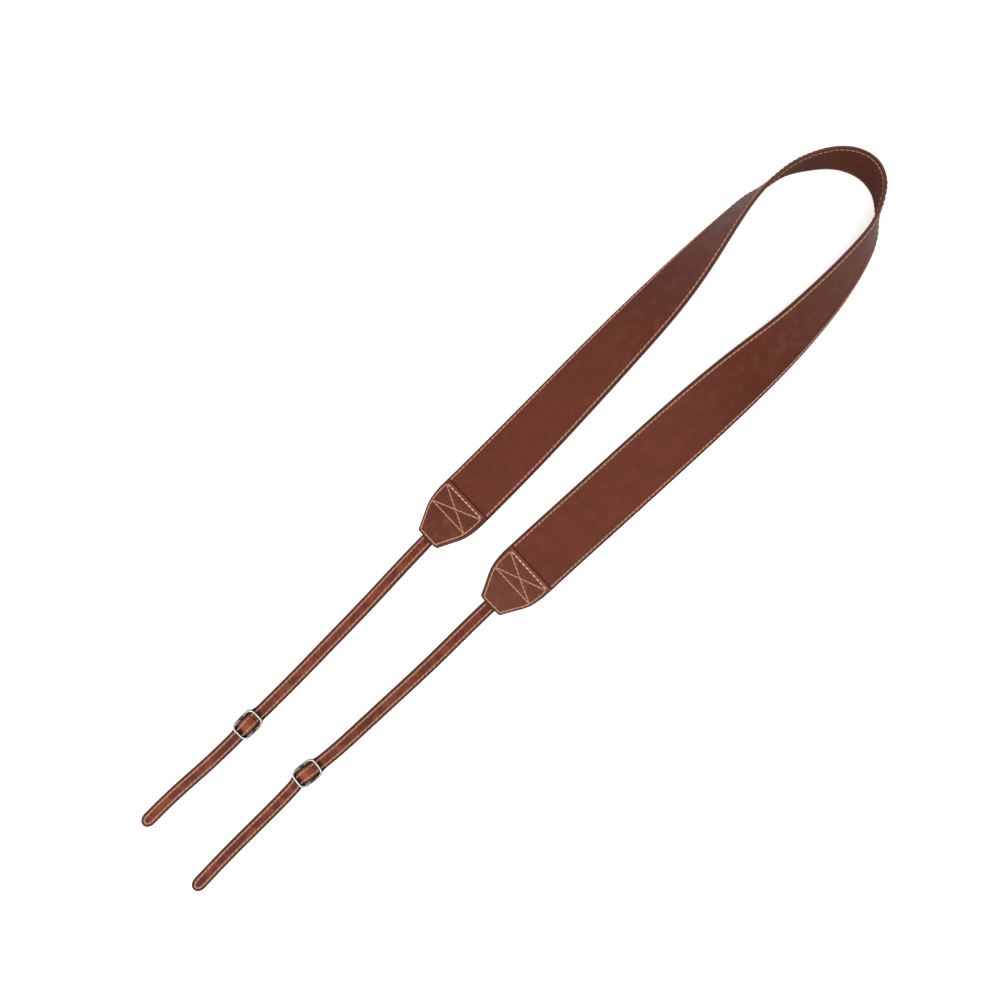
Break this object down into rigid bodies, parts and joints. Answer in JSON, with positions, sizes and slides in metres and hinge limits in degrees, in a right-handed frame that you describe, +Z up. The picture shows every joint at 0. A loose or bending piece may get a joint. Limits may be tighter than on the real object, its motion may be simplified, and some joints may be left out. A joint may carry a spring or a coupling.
{
  "type": "camera neck strap",
  "caption": "Leather neck strap for a camera: a wide stitched band with tapered tabs, narrow end straps with slide buckles and free rounded tails, laid flat with its neck loop on edge.",
  "frame": {"origin": "middle of the floor rectangle, on the table", "axes": "+Y along the strap from the tails towards the neck loop, +X across it towards the right arm, +Z up off the table"},
  "size_m": [0.1018, 0.6026, 0.0379],
  "materials": {
    "band_face": "pebbled, waxed",
    "band_lining": "matt, smooth",
    "tab_front_left": "pebbled, waxed",
    "tab_front_right": "pebbled, waxed",
    "tab_back_left": "pebbled, waxed",
    "tab_back_right": "pebbled, waxed",
    "thin_strap_left": "pebbled, waxed",
    "thin_strap_right": "pebbled, waxed",
    "buckle_left": "antique satin nickel",
    "buckle_right": "antique satin nickel"
  },
  "bodies": {
    "root": {"band_face": "band_face", "band_lining": "band_lining", "tab_front_left": "tab_front_left", "tab_front_right": "tab_front_right", "tab_back_left": "tab_back_left", "tab_back_right": "tab_back_right", "thin_strap_left": "thin_strap_left", "thin_strap_right": "thin_strap_right", "buckle_left": "buckle_left", "buckle_right": "buckle_right"}
  },
  "joints": []
}
